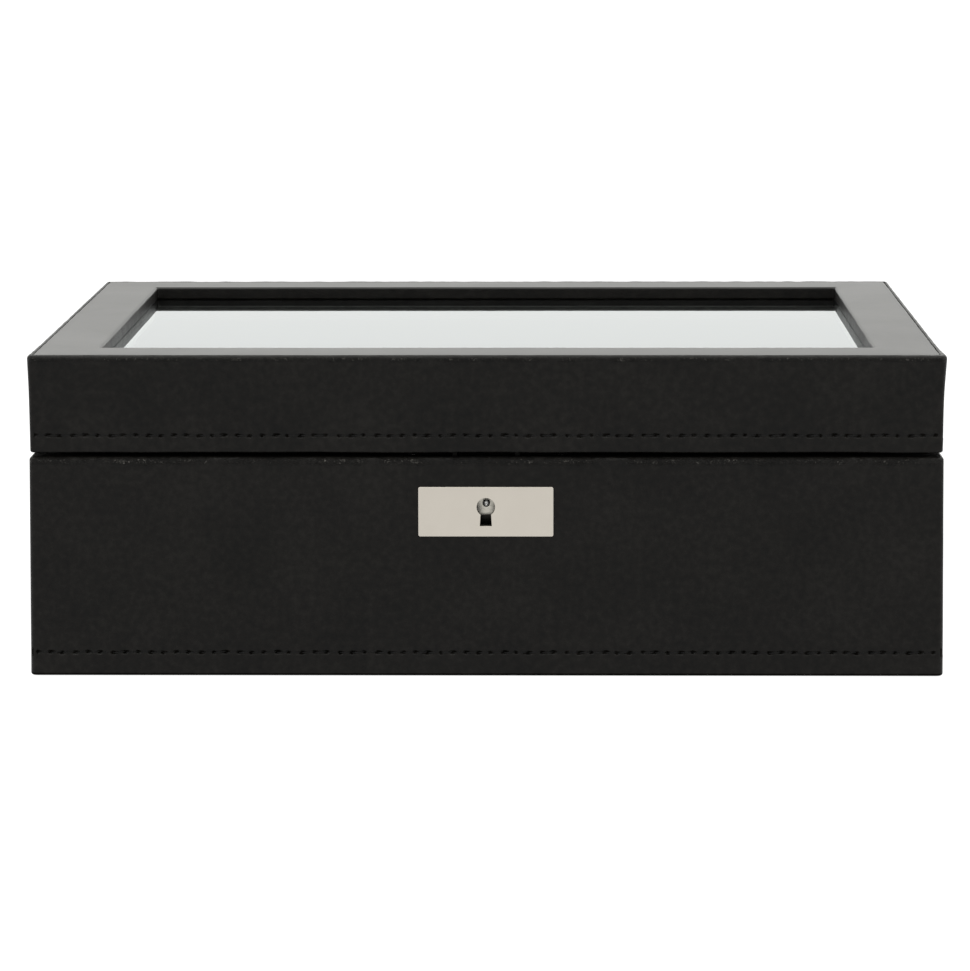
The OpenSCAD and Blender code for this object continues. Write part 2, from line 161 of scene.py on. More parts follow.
def leather(name, ior, sheen, relief, rough, creases_and_glints=(), deep=1.0):
    """Black box leather: fine pebbled grain, a faint mottle, and creases with painted glints (light
    specks in the colour standing in for highlights) near each (height, reach, depth) given for them, all
    in metres. With deep under 1 the pattern is drawn out from front to back."""
    mat, tree, bsdf, place = shader(name)
    if deep < 1.0:
        place = stretch(tree, place, (1.0, deep, 1.0))
    tone = combine(tree, "ADD", combine(tree, "MULTIPLY", noise_of(tree, place, 38, 3), 0.35),
                   combine(tree, "MULTIPLY", noise_of(tree, place, 420, 3, 0.6), 0.65))
    fine = noise_of(tree, place, 900, 3, 0.6)
    pebbles = remap(tree, cells_of(tree, place, 1150), 0.0, 0.34, 0.0, 1.0)
    pores = combine(tree, "MULTIPLY", pebbles,
                    remap(tree, noise_of(tree, place, 420, 2, 0.5), 0.35, 0.65, 0.35, 1.0))
    hide = noise_of(tree, place, 260, 3, 0.5)
    layers = [(hide, relief, 0.00016), (pores, relief, 0.00007), (fine, relief, 0.00003)]
    for z, reach, depth in creases_and_glints:
        crackle = noise_of(tree, place, 1100, 4, 0.75, 1.2)
        clumps = remap(tree, noise_of(tree, place, 80, 3, 0.6), 0.36, 0.5, 0.25, 1.0)
        here = combine(tree, "MULTIPLY", band(tree, place, z, reach), clumps)
        layers.append((combine(tree, "MULTIPLY", crackle, here), 1.0, depth))
        # Painted highlight: light specks added to the colour in the crease band stand in for glints.
        painted_glints = remap(tree, crackle, 0.5, 0.64, 0.0, 0.46)
        tone = combine(tree, "ADD", tone, combine(tree, "MULTIPLY", painted_glints, here))
    # The last stop, (0.11, 0.105, 0.095), is reached only where the painted glints are added: painted
    # highlight.
    paint(tree, bsdf, tone, (0.36, (0.0006, 0.0005, 0.0003)), (0.5, (0.0026, 0.0022, 0.0017)),
          (0.64, (0.0055, 0.0049, 0.0041)), (0.8, (0.0075, 0.0068, 0.0058)), (1.0, (0.11, 0.105, 0.095)))
    streaks = noise_of(tree, stretch(tree, place, (15, 42, 42)), 1.0, 4, 0.6, 0.9)
    tree.links.new(remap(tree, streaks, 0.3, 0.7, *rough), bsdf.inputs["Roughness"])
    bsdf.inputs["IOR"].default_value = ior
    bsdf.inputs["Sheen Weight"].default_value = sheen
    bsdf.inputs["Sheen Roughness"].default_value = 0.25
    bump(tree, bsdf, *layers)
    return mat


def cloth(name, dark, light, nap=1400, sheen=0.35, streak=60, depth=0.00006):
    """Brushed suede or plush: a napped surface with lighter and darker strokes."""
    mat, tree, bsdf, place = shader(name)
    strokes = noise_of(tree, place, streak, 4, 0.65, 0.8)
    fibres = noise_of(tree, place, nap, 3, 0.7)
    both = combine(tree, "ADD", combine(tree, "MULTIPLY", strokes, 0.65),
                   combine(tree, "MULTIPLY", fibres, 0.35))
    paint(tree, bsdf, both, (0.36, dark), (0.64, light))
    bsdf.inputs["Roughness"].default_value = 0.92
    bsdf.inputs["IOR"].default_value = 1.35
    bsdf.inputs["Sheen Weight"].default_value = sheen
    bsdf.inputs["Sheen Roughness"].default_value = 0.45
    bsdf.inputs["Sheen Tint"].default_value = (0.8, 0.79, 0.78, 1)
    bump(tree, bsdf, (strokes, 0.25, 0.0002), (fibres, 0.5, depth))
    return mat


def metal(name, dark, light, rough=(0.24, 0.34), lines=(60, 60, 2600), shadow_below=None):
    """Satin metal with fine grinding lines and a faint patchy tarnish, near black below a height when
    one is given: painted shadow.
    """
    mat, tree, bsdf, place = shader(name)
    tarnish_and_shadow = noise_of(tree, place, 140, 4, 0.6, 0.2)
    if shadow_below:
        split = tree.nodes.new("ShaderNodeSeparateXYZ")
        tree.links.new(place, split.inputs[0])
        lit_above = remap(tree, split.outputs["Z"], shadow_below - 0.0005, shadow_below + 0.0005, 0.0, 1.0)
        tarnish_and_shadow = combine(tree, "MULTIPLY", tarnish_and_shadow, lit_above)
    # The first stop, near black, is reached only below that height: painted shadow.
    paint(tree, bsdf, tarnish_and_shadow, (0.0, [c * 0.06 for c in dark]), (0.3, dark), (0.7, light))
    bsdf.inputs["Metallic"].default_value = 1.0
    hair = noise_of(tree, stretch(tree, place, lines), 1.0, 2, 0.6)
    tree.links.new(remap(tree, hair, 0.3, 0.7, *rough), bsdf.inputs["Roughness"])
    bump(tree, bsdf, (hair, 0.06, 0.000006))
    return mat


def board(name, dark, light):
    """Fibreboard, only seen where a cut-out bares it."""
    mat, tree, bsdf, place = shader(name)
    chips = noise_of(tree, place, 700, 4, 0.7)
    paint(tree, bsdf, chips, (0.35, dark), (0.65, light))
    bsdf.inputs["Roughness"].default_value = 0.85
    bump(tree, bsdf, (chips, 0.4, 0.00008))
    return mat


def clear_glass(name):
    """A clear pane that mirrors at a low angle: one reflection, from the side that is seen,
    with GLASS_CUT taken off it so that what lies under the pane shows from above."""
    mat, tree, bsdf, place = shader(name)
    wipes = noise_of(tree, stretch(tree, place, (14, 40, 14)), 1.0, 4, 0.6, 0.6)
    tree.nodes.remove(bsdf)
    gloss = tree.nodes.new("ShaderNodeBsdfGlossy")
    gloss.inputs["Color"].default_value = (0.902, 0.928, 0.943, 1)
    tree.links.new(remap(tree, wipes, 0.35, 0.75, 0.0, 0.006), gloss.inputs["Roughness"])
    through = tree.nodes.new("ShaderNodeBsdfTransparent")
    through.inputs["Color"].default_value = (0.93, 0.955, 0.945, 1)
    sheen = tree.nodes.new("ShaderNodeFresnel")
    sheen.inputs["IOR"].default_value = GLASS_IOR
    side = tree.nodes.new("ShaderNodeNewGeometry").outputs["Backfacing"]
    low = remap(tree, sheen.outputs[0], GLASS_CUT, 1.0, 0.0, 1.0)
    share = combine(tree, "MULTIPLY", low, combine(tree, "SUBTRACT", 1.0, side))
    mix = tree.nodes.new("ShaderNodeMixShader")
    tree.links.new(share, mix.inputs[0])
    tree.links.new(through.outputs[0], mix.inputs[1])
    tree.links.new(gloss.outputs[0], mix.inputs[2])
    tree.links.new(mix.outputs[0], tree.nodes["Material Output"].inputs["Surface"])
    return mat


GLASS_IOR, GLASS_CUT = 1.6, 0.035
RIM_AT, TOP_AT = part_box("base_cover")[1].z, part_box("lid_cover")[1].z
LEATHER = leather("leather_black", 1.32, 0.115, 0.12, (0.385, 0.42), (), 0.3)
# The base and lid leathers carry painted glints in a band just under the rim and under the top edge.
BASE_LEATHER = leather("leather_base", 1.23, 0.0, 1.0, (0.36, 0.44), [(RIM_AT - 0.0013, 0.0016, 0.0012)])
LID_LEATHER = leather("leather_lid", 1.23, 0.02, 1.0, (0.36, 0.44), [(TOP_AT - 0.0013, 0.0011, 0.001)])
# A duller, less reflective copy of the leather with the same colours: painted shade where it is put, on
# the bottom band, the rim top, the lid's underside and the stitch holes.
SHADE_LEATHER = leather("leather_painted_shade", 1.15, 0.0, 0.4, (0.95, 1.0))
SUEDE = cloth("suede_charcoal", (0.020, 0.0195, 0.019), (0.042, 0.041, 0.039))
PLUSH = cloth("plush_charcoal", (0.030, 0.029, 0.028), (0.062, 0.060, 0.057), 1100, 0.6, 45, 0.00012)
FELT = cloth("felt_black", (0.006, 0.006, 0.006), (0.015, 0.015, 0.015), 1700, 0.1, 90)
THREAD = cloth("thread_black", (0.001, 0.001, 0.001), (0.004, 0.004, 0.004), 4200, 0.0, 900, 0.00004)
BOARD = board("fibreboard", (0.24, 0.15, 0.085), (0.42, 0.29, 0.18))
STAINED = board("fibreboard_stained", (0.006, 0.0055, 0.005), (0.014, 0.013, 0.012))
NICKEL = metal("nickel_satin", (0.48, 0.447, 0.396), (0.492, 0.459, 0.408), (0.26, 0.27))
# The cap's nickel is lighter than the plate's, painted light on a part deep inside the lock, and near
# black below a height 10.2 mm under the plate's top: painted shadow.
CAP = metal("nickel_painted_light_and_shadow", (0.46, 0.44, 0.39), (0.66, 0.63, 0.57), (0.2, 0.3), (60, 60, 2600),
            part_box("lock_plate")[1].z - 0.0102)
# Near-black steel on the lock case, selvage and strike: painted shade, for the dark ring inside the
# keyhole and the dark gap under the lid.
SHADE_STEEL = metal("steel_painted_shade", (0.007, 0.007, 0.007), (0.014, 0.0135, 0.013), (0.4, 0.5))
STEEL = metal("steel_bright", (0.5, 0.5, 0.5), (0.62, 0.62, 0.61), (0.2, 0.32), (900, 300, 900))
GLASS = clear_glass("glass_clear")


# ---------------------------------------------------------------- mesh tools

def build(name, verts, faces, mat, body, stands_for=(), smooth=True):
    """A mesh piece from vertices in millimetres of the row frame, riding on a body."""
    mesh = bpy.data.meshes.new(name)
    mesh.from_pydata([tuple(float(c) * MM for c in v) for v in verts], [], faces)
    mesh.validate()
    obj = bpy.data.objects.new(name, mesh)
    bpy.context.scene.collection.objects.link(obj)
    return dress(obj, mat, body, stands_for, smooth)


def dress(obj, mat, body, stands_for=(), smooth=True):
    obj.data.materials.clear()
    obj.data.materials.append(mat)
    obj.data.polygons.foreach_set("use_smooth", [smooth] * len(obj.data.polygons))
    if body:
        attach(obj, body)
    if stands_for:
        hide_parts(*stands_for)
    return obj


def outward(obj):
    """Faces turned outwards, doubles merged."""
    bm = bmesh.new()
    bm.from_mesh(obj.data)
    bmesh.ops.remove_doubles(bm, verts=bm.verts, dist=1e-7)
    bmesh.ops.recalc_face_normals(bm, faces=bm.faces)
    bm.to_mesh(obj.data)
    bm.free()


def settle(obj):
    """Modifiers applied."""
    bpy.context.view_layer.update()
    seen = obj.evaluated_get(bpy.context.evaluated_depsgraph_get())
    mesh = bpy.data.meshes.new_from_object(seen)
    obj.modifiers.clear()
    obj.data = mesh


def soften(node, mat, width=0.3, segments=2, name=None):
    """The CAD node's shape with its edges broken, in place of the node."""
    source = NODES[node]
    mesh = source.data.copy()
    obj = bpy.data.objects.new(name or node + "_made", mesh)
    bpy.context.scene.collection.objects.link(obj)
    bm = bmesh.new()
    bm.from_mesh(mesh)
    bmesh.ops.remove_doubles(bm, verts=bm.verts, dist=1e-6)
    bmesh.ops.dissolve_limit(bm, angle_limit=math.radians(2), verts=bm.verts, edges=bm.edges)
    bm.to_mesh(mesh)
    bm.free()
    bevel = obj.modifiers.new("edges", "BEVEL")
    bevel.width = width * MM
    bevel.segments = segments
    bevel.limit_method = "ANGLE"
    bevel.angle_limit = math.radians(35)
    mesh.polygons.foreach_set("use_smooth", [True] * len(mesh.polygons))
    even = obj.modifiers.new("even", "WEIGHTED_NORMAL")
    even.weight = 80
    settle(obj)
    return dress(obj, mat, source["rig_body"], (node,))


def box_mm(node):
    low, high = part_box(node)
    return np.array(low) / MM, np.array(high) / MM


def ticks(low, high, r, step):
    """Places along one edge of a rounded box: close together over the rounding."""
    n = max(1, round((high - low - 2 * r) / step))
    near = [low + r * t for t in (0, 0.2, 0.42, 0.68)]
    far = [low + high - t for t in reversed(near)]
    return near + list(np.linspace(low + r, high - r, n + 1)) + far


def rounded_box(name, low, high, r, step, mat, body, stands_for, shift=None):
    """A box with rounded edges and a fine skin; shift(p, n) moves a point of it."""
    axes = [ticks(low[i], high[i], r, step) for i in range(3)]
    index, verts, faces = {}, [], []

    def at(key):
        if key not in index:
            q = np.array([axes[i][key[i]] for i in range(3)])
            c = np.clip(q, np.array(low) + r, np.array(high) - r)
            v = q - c
            n = v / max(np.linalg.norm(v), 1e-9)
            p = c + r * n
            if shift:
                p = p + shift(p, n)
            index[key] = len(verts)
            verts.append(p)
        return index[key]

    for a in range(3):
        b, c = (a + 1) % 3, (a + 2) % 3
        for end in (0, len(axes[a]) - 1):
            for i in range(len(axes[b]) - 1):
                for j in range(len(axes[c]) - 1):
                    ring = []
                    for di, dj in ((0, 0), (1, 0), (1, 1), (0, 1)):
                        key = [0, 0, 0]
                        key[a], key[b], key[c] = end, i + di, j + dj
                        ring.append(at(tuple(key)))
                    faces.append(ring if end else ring[::-1])
    return build(name, verts, faces, mat, body, stands_for)


def wander(x, y, z, seed=0.0):
    return noise.noise(Vector((x + seed * 17.3, y - seed * 9.1, z + seed * 5.7)))


# ---------------------------------------------------------------- leather skins

base_low, base_high = box_mm("base_cover")
lid_low, lid_high = box_mm("lid_cover")
HALF_W = float(base_high[0])
MID_Y = float(base_low[1] + base_high[1]) / 2
HALF_D = float(base_high[1] - base_low[1]) / 2
FRONT_Y = float(base_low[1])
RIM_Z = float(base_high[2])
LID_Z = float(lid_low[2])
TOP_Z = float(lid_high[2])
CORNER_R = 1.7
# The side rails of the window are this much narrower than the front and back ones, a
# difference that is taken up between these two insets, under the leather or on the flat.
RAIL_STEP = 2.2
STEP_FROM, STEP_TO = 12.0, 20.4
FLARE, LID_TAPER = 0.55, 0.3
SKIN_Z = 0.1
RIM_R = 1.1
BASE_STITCH_Z = float(base_low[2]) + 6.9
LID_STITCH_Z = LID_Z + 5.4


def ring_around():
    arc = CORNER_R * math.pi / 2
    return [length for side in range(4)
            for length in (2 * ((HALF_W if side % 2 == 0 else HALF_D) - CORNER_R), arc)]


LENGTHS = ring_around()
AROUND = sum(LENGTHS)


def spot_at(run):
    """The place on the ring after a run from the front left: (kind, side, place on it, run)."""
    left = run % AROUND
    for k, length in enumerate(LENGTHS):
        if left < length - 1e-9:
            break
        left -= length
    side = k // 2
    if k % 2:
        return "corner", side, left / length, run
    return "side", side, left - length / 2, run


def ring_spots(runs, corner_steps=8):
    """Spots at these runs, with even ones round the corners in place of any there."""
    spots, start = [s for s in map(spot_at, runs) if s[0] == "side"], 0.0
    for k, length in enumerate(LENGTHS):
        if k % 2:
            spots += [spot_at(start + length * (i + 0.001) / corner_steps) for i in range(corner_steps)]
            spots.append(spot_at(start + length))
        start += length
    return sorted({round(s[3], 3): s for s in spots}.values(), key=lambda s: s[3])


def ring_point(spot, inset, least_r=0.05):
    """x, y of a place on the ring set in from the outside, and the outward normal."""
    kind, side, a, _ = spot
    r = max(CORNER_R - inset, least_r)
    turn = side * math.pi / 2
    w, d = (HALF_W, HALF_D) if side % 2 == 0 else (HALF_D, HALF_W)
    if kind == "side":
        x = a * (w - inset - r) / (w - CORNER_R)
        y = -(d - inset)
        nx, ny = 0.0, -1.0
    else:
        ang = -math.pi / 2 + a * math.pi / 2
        nx, ny = math.cos(ang), math.sin(ang)
        x = w - inset - r + r * nx
        y = -(d - inset - r) + r * ny
    c, s = math.cos(turn), math.sin(turn)
    return c * x - s * y, MID_Y + s * x + c * y, c * nx - s * ny, s * nx + c * ny


def narrower(inset):
    """How much nearer the sides of the box something at this inset lies than from its front."""
    return RAIL_STEP * min(max((inset - STEP_FROM) / (STEP_TO - STEP_FROM), 0.0), 1.0)


def swept_skin(name, profile, spots, mat, body, stands_for, slot, shift=None, least_r=0.05):
    """A closed profile of (inset, z) swept round the box; shift(spot, inset, z) -> more (inset, z)."""
    verts, faces = [], []
    m, n = len(profile), len(spots)
    for spot in spots:
        for inset, z in profile:
            di, dz = shift(spot, inset, z) if shift else (0.0, 0.0)
            x, y, _, _ = ring_point(spot, inset + di, least_r)
            if slot and inset > STEP_FROM:
                x *= 1 + narrower(inset) / (HALF_W - inset)
            verts.append((x, y, z + dz))
    for i in range(n):
        j = (i + 1) % n
        for k in range(m):
            l = (k + 1) % m
            faces.append((i * m + k, j * m + k, j * m + l, i * m + l))
    obj = build(name, verts, faces, mat, body, stands_for)
    outward(obj)
    return obj


def faced(obj, mat, pick):
    """A second material on the faces for which pick(middle in millimetres, normal) is true."""
    obj.data.materials.append(mat)
    for face in obj.data.polygons:
        if pick(face.center / MM, face.normal):
            face.material_index = 1


def arc_points(cx, cz, r, a0, a1, n):
    return [(cx + r * math.cos(math.radians(a0 + (a1 - a0) * k / n)),
             cz + r * math.sin(math.radians(a0 + (a1 - a0) * k / n))) for k in range(n + 1)]


def up(z0, z1, step, dense=()):
    """Heights from z0 to z1, closer together near each (z, reach, fine step)."""
    z, out = z0, []
    while z < z1 - 0.05:
        out.append(z)
        gap = step
        for centre, reach, fine in dense:
            if abs(z - centre) < reach or z < centre < z + step:
                gap = min(gap, fine)
            elif centre - reach > z:
                gap = min(gap, max(fine, centre - reach - z))
        z += gap
    return out


def gauss(t):
    return math.exp(-t * t)


STITCHES = round(AROUND / 4.05)
PITCH = AROUND / STITCHES
HOLE_SIDES = (-0.75, -0.38, 0.0, 0.38, 0.75, 1.2, 1.7, 2.3)
SPOTS = ring_spots([(k * PITCH + t) % AROUND for k in range(STITCHES) for t in HOLE_SIDES])


def stitch_press(run, dz):
    """How far the seam pulls the leather in: a soft channel with a slanting hole at each stitch."""
    k = (run + PITCH / 2) % PITCH - PITCH / 2
    odd = round((run - k) / PITCH)
    k -= 0.2 * math.sin(odd * 2.4)
    dz -= 0.14 * math.sin(odd * 1.7 + 1)
    wide, deep = 0.76 + 0.22 * math.sin(odd * 3.1), 0.9 + 0.1 * math.sin(odd * 4.3)
    slant = math.hypot((k + 0.7 * dz) / wide, (dz - 0.3 * k) / 0.52)
    trail = (0.22 + 0.14 * math.sin(odd * 2.1)) * gauss((k - 1.0) / 0.8) * gauss((dz - 0.1) / 0.5)
    return (0.16 * gauss(dz / 0.6) + deep * gauss(slant) + trail
            - 0.1 * gauss((dz + 1.0) / 0.5) * gauss(k / 0.8))


def crumple(x, y, z, strength):
    """Small creases where the leather is drawn tight over an edge."""
    clump = max(0.0, wander(x / 14, y / 14, 0.3, 3) + 0.25)
    coarse, small = wander(x / 0.9, y / 0.9, z / 0.6, 1), wander(x / 0.45, y / 0.45, z / 0.4, 2)
    return strength * clump * (coarse + 0.6 * small)


def base_shift(spot, inset, z):
    x, y, _, _ = ring_point(spot, 0)
    outside = 1.0 if inset < 0.9 else 0.0
    press = stitch_press(spot[3], z - BASE_STITCH_Z) if spot[0] == "side" else 0.0
    di = outside * (press - FLARE * (RIM_Z - z) / RIM_Z)
    di -= outside * 0.035 * wander(x / 16, y / 16, z / 12)
    di -= outside * crumple(x, y, z, 0.22) * gauss((z - (RIM_Z - 2.6)) / 1.3)
    dz = 0.0
    if z > RIM_Z - 0.9 and inset < 9:
        dz = 0.08 + 0.13 * wander(x / 24, y / 24, 1.7, 4)
    return di, dz


def lid_shift(spot, inset, z):
    x, y, _, _ = ring_point(spot, 0)
    outside = 1.0 if inset < 0.9 else 0.0
    taper = LID_TAPER * (TOP_Z - z) / (TOP_Z - LID_Z)
    for side, bulge in ((1, 0.7), (-1, 0.3)):
        away = math.hypot(x - side * HALF_W, y - FRONT_Y) / 16
        taper -= bulge * gauss(away) * gauss((TOP_Z - z) / 9)
    press = stitch_press(spot[3], z - LID_STITCH_Z) if spot[0] == "side" else 0.0
    di = outside * min(press + taper, 0.9)
    di -= outside * 0.035 * wander(x / 15, y / 15, z / 12, 5)
    di -= outside * crumple(x, y, z, 0.16) * gauss((z - (TOP_Z - 1.4)) / 0.9)
    dz = 0.0
    if z < LID_Z + 0.9 and inset < 9:
        dz = -0.1 + 0.14 * wander(x / 20, y / 20, 0.4, 6)
    if z > TOP_Z - 0.9:
        dz = -0.03 + 0.1 * wander(x / 4, y / 4, 0.2, 7)
    return di, dz


base_profile = (
    arc_points(0.9, SKIN_Z + 0.9, 0.9, 270, 180, 4)
    + [(0.0, z) for z in up(SKIN_Z + 1.6, RIM_Z - RIM_R - 0.1, 3.2,
                            ((BASE_STITCH_Z, 1.5, 0.3), (RIM_Z - 2.2, 1.6, 0.4)))]
    + arc_points(RIM_R, RIM_Z - RIM_R, RIM_R, 180, 90, 6)
    + [(2.6, RIM_Z), (5.0, RIM_Z), (9.0, RIM_Z), (12.5, RIM_Z)]
    + [(12.88, RIM_Z - 0.15), (13.0, RIM_Z - 0.5), (13.0, RIM_Z - 0.98)]
    + [(1.02, RIM_Z - 0.98), (1.02, 1.58), (12.9, 1.58), (12.9, 0.85), (2.3, 0.82), (2.2, SKIN_Z + 0.1),
       (1.9, SKIN_Z)]
)
base_skin = swept_skin("base_leather", base_profile, SPOTS, BASE_LEATHER, None, (), None, base_shift)

lid_profile = (
    arc_points(0.7, LID_Z + 0.7, 0.7, 270, 180, 5)
    + [(0.0, z) for z in up(LID_Z + 1.8, TOP_Z - 1.2, 3.0,
                            ((LID_STITCH_Z, 1.5, 0.3), (TOP_Z - 1.6, 1.0, 0.4)))]
    + [(0.0, TOP_Z - 1.1), (0.08, TOP_Z - 0.75), (0.24, TOP_Z - 0.42), (0.46, TOP_Z - 0.18)]
    + [(0.74, TOP_Z - 0.04)]
    + [(1.0, TOP_Z - 0.02), (1.16, TOP_Z - 0.18), (1.2, TOP_Z - 0.7)]
    + [(1.02, TOP_Z - 0.95), (1.02, LID_Z + 0.98), (11.9, LID_Z + 0.98)]
    + [(12.0, LID_Z + 0.8), (12.0, LID_Z + 0.3), (11.7, LID_Z), (6.0, LID_Z)]
)
lid_skin = swept_skin("lid_leather", lid_profile, SPOTS, LID_LEATHER, None, (), None, lid_shift)

# the top panel: thin turned edge outside, rolled over the window lip inside
WINDOW_IN = 23.4
GLASS_TOP = float(box_mm("lid_glass")[1][2])
ROLL = 1.0


def top_shift(spot, inset, z):
    x, y, _, _ = ring_point(spot, min(inset, 20))
    lift = 0.05 * wander(x / 30, y / 30, 0.9, 8) if z > TOP_Z - 0.6 else 0.0
    edge = 0.12 * wander(x / 7, y / 7, 1.3, 9) if inset < 2.0 else 0.0
    if z > TOP_Z - 0.6:
        lift -= 0.06 + 0.05 * gauss((inset - 3.4) / 1.5)
    return edge, lift


top_profile = (
    [(1.5, TOP_Z - 0.9), (1.5, TOP_Z - 0.45), (1.58, TOP_Z - 0.2), (1.76, TOP_Z - 0.04), (2.05, TOP_Z)]
    + [(i, TOP_Z) for i in (2.6, 3.6, 5, 7.5, 10, 12.5, 15, 17.5, 19.8, 21.2)]
    + arc_points(WINDOW_IN - ROLL, TOP_Z - ROLL, ROLL, 90, 0, 8)
    + [(WINDOW_IN, GLASS_TOP + 0.6), (WINDOW_IN, GLASS_TOP + 0.02)]
    + [(22.45, GLASS_TOP + 0.02), (22.42, TOP_Z - 0.98), (12, TOP_Z - 0.98)]
)
top_panel = swept_skin("lid_top_leather", top_profile, SPOTS, LEATHER, "lid", ("lid_top_cover",),
                       "leather", top_shift, 0.8)
faced(top_panel, BASE_LEATHER, lambda c, n: n.z < 0.6 and HALF_W - abs(c.x) > STEP_FROM
      and c.z > GLASS_TOP + 0.3)


def keyhole_curve(grow, steps=40):
    """The keyhole's outline in millimetres, anticlockwise, about the middle of its round end."""
    r, drop = 2.9 + grow, 6.1 + grow
    a = math.asin((1.65 + grow) / r)
    start, stop = -math.pi / 2 + a, 3 * math.pi / 2 - a
    pts = [(r * math.cos(start + (stop - start) * k / steps),
            r * math.sin(start + (stop - start) * k / steps)) for k in range(steps + 1)]
    return pts + [(-1.9 - grow, -drop), (1.9 + grow, -drop)]


KEY_Z = 54.9
AXIS_Y, AXIS_Z = FRONT_Y + 2 * HALF_D + 1.0, (RIM_Z + LID_Z) / 2
HINGE_X, HINGE_L = 85.0, 40.5


def prism(points, y0, y1, z0):
    """Vertices and faces of an outline in X and Z, drawn along Y."""
    n = len(points)
    verts = [(x, y0, z0 + z) for x, z in points] + [(x, y1, z0 + z) for x, z in points]
    faces = [tuple(range(n)), tuple(reversed(range(n, 2 * n)))]
    faces += [(i, i + n, (i + 1) % n + n, (i + 1) % n) for i in range(n)]
    return verts, faces


def block(low, high):
    x0, y0, z0 = low
    x1, y1, z1 = high
    return prism([(x0, z0), (x1, z0), (x1, z1), (x0, z1)], y0, y1, 0)


def rod_x(x0, x1, r, n=28):
    ring = [(AXIS_Y + r * math.cos(2 * math.pi * k / n), AXIS_Z + r * math.sin(2 * math.pi * k / n))
            for k in range(n)]
    verts = [(x0, y, z) for y, z in ring] + [(x1, y, z) for y, z in ring]
    faces = [tuple(range(n)), tuple(reversed(range(n, 2 * n)))]
    faces += [(i, i + n, (i + 1) % n + n, (i + 1) % n) for i in range(n)]
    return verts, faces


def carve(obj, shapes):
    """The shapes, which don't touch each other, cut out of obj."""
    verts, faces = [], []
    for more, sides in shapes:
        faces += [tuple(i + len(verts) for i in side) for side in sides]
        verts += more
    cutter = build("cutter", verts, faces, LEATHER, None)
    outward(cutter)
    cut = obj.modifiers.new("cut", "BOOLEAN")
    cut.operation = "DIFFERENCE"
    cut.solver = "EXACT"
    cut.object = cutter
    settle(obj)
    bpy.data.objects.remove(cutter)


selvage_low, selvage_high = box_mm("lock_selvage")
strike_low, strike_high = box_mm("lock_strike")
notches = [rod_x(s * HINGE_X - HINGE_L / 2, s * HINGE_X + HINGE_L / 2, 2.1) for s in (-1, 1)]
carve(base_skin, [
    prism(keyhole_curve(0.5), FRONT_Y - 2, FRONT_Y + 3, KEY_Z),
    block((selvage_low[0] - 0.1, selvage_low[1] - 0.1, RIM_Z - 2),
          (selvage_high[0] + 0.1, selvage_high[1] + 0.1, RIM_Z + 1)),
] + notches)
carve(lid_skin, [
    block((strike_low[0] - 0.1, strike_low[1] - 0.1, LID_Z - 1),
          (strike_high[0] + 0.1, strike_high[1] + 0.1, LID_Z + 2)),
] + notches)
dress(base_skin, BASE_LEATHER, "base", ("base_cover",))
dress(lid_skin, LID_LEATHER, "lid", ("lid_cover",))


def in_hole(c, z, skin):
    """In one of the stitch holes: deeper than skin, but outside the leather's own back."""
    deep = min(HALF_W - abs(c.x), HALF_D - abs(c.y - MID_Y))
    return skin + 0.36 < deep < 0.97 and abs(c.z - z) < 1.3


# Painted shade: the duller leather on the bottom band where the box meets the floor, on up-facing faces
# such as the rim top inside the lid gap, on the lid's underside and in the stitch holes.
faced(base_skin, SHADE_LEATHER, lambda c, n: c.z < 1.3 or n.z > 0.95
          or in_hole(c, BASE_STITCH_Z, -FLARE * (1 - BASE_STITCH_Z / RIM_Z)))
faced(lid_skin, SHADE_LEATHER, lambda c, n: (n.z < -0.95 and c.z < LID_Z + 0.6)
          or in_hole(c, LID_STITCH_Z, LID_TAPER * (TOP_Z - LID_STITCH_Z) / (TOP_Z - LID_Z)))


def stitch_row(name, z, body, inset):
    """One sewn row: each stitch a short slanted loop of thread between two holes."""
    verts, faces = [], []
    sides, rings = 7, 7
    rng = np.random.default_rng(11)
    for k in range(STITCHES):
        start, length = k * PITCH + 0.1, PITCH - 0.2
        lean, thick = 0.16 + 0.1 * rng.random(), 0.2 + 0.05 * rng.random()
        rise = 0.5 + 0.14 * rng.random()
        first = len(verts)
        for i in range(rings):
            t = i / (rings - 1)
            arch = math.sin(math.pi * t)
            out = -0.8 + rise * arch ** 0.5 - inset
            x, y, nx, ny = ring_point(spot_at(start + length * t), -out)
            size = thick * (0.55 + 0.45 * arch ** 0.5)
            for j in range(sides):
                a = 2 * math.pi * j / sides
                verts.append((x + nx * size * math.cos(a), y + ny * size * math.cos(a),
                              z + lean * (2 * t - 1) + size * math.sin(a)))
        for i in range(rings - 1):
            for j in range(sides):
                p, q = first + i * sides, first + (i + 1) * sides
                l = (j + 1) % sides
                faces.append((p + j, q + j, q + l, p + l))
        faces.append(tuple(first + j for j in range(sides)))
        faces.append(tuple(first + (rings - 1) * sides + j for j in reversed(range(sides))))
    outward(build(name, verts, faces, THREAD, body, ()))


stitch_row("base_stitching", BASE_STITCH_Z, "base", -FLARE * (1 - BASE_STITCH_Z / RIM_Z))
stitch_row("lid_stitching", LID_STITCH_Z, "lid",
           LID_TAPER * (TOP_Z - LID_STITCH_Z) / (TOP_Z - LID_Z))


# ---------------------------------------------------------------- suede linings

def nap_shift(amount, size, seed):
    """A soft unevenness of a wrapped board, along its normals."""
    def shift(p, n):
        return n * amount * wander(p[0] / size, p[1] / size, p[2] / size, seed)
    return shift


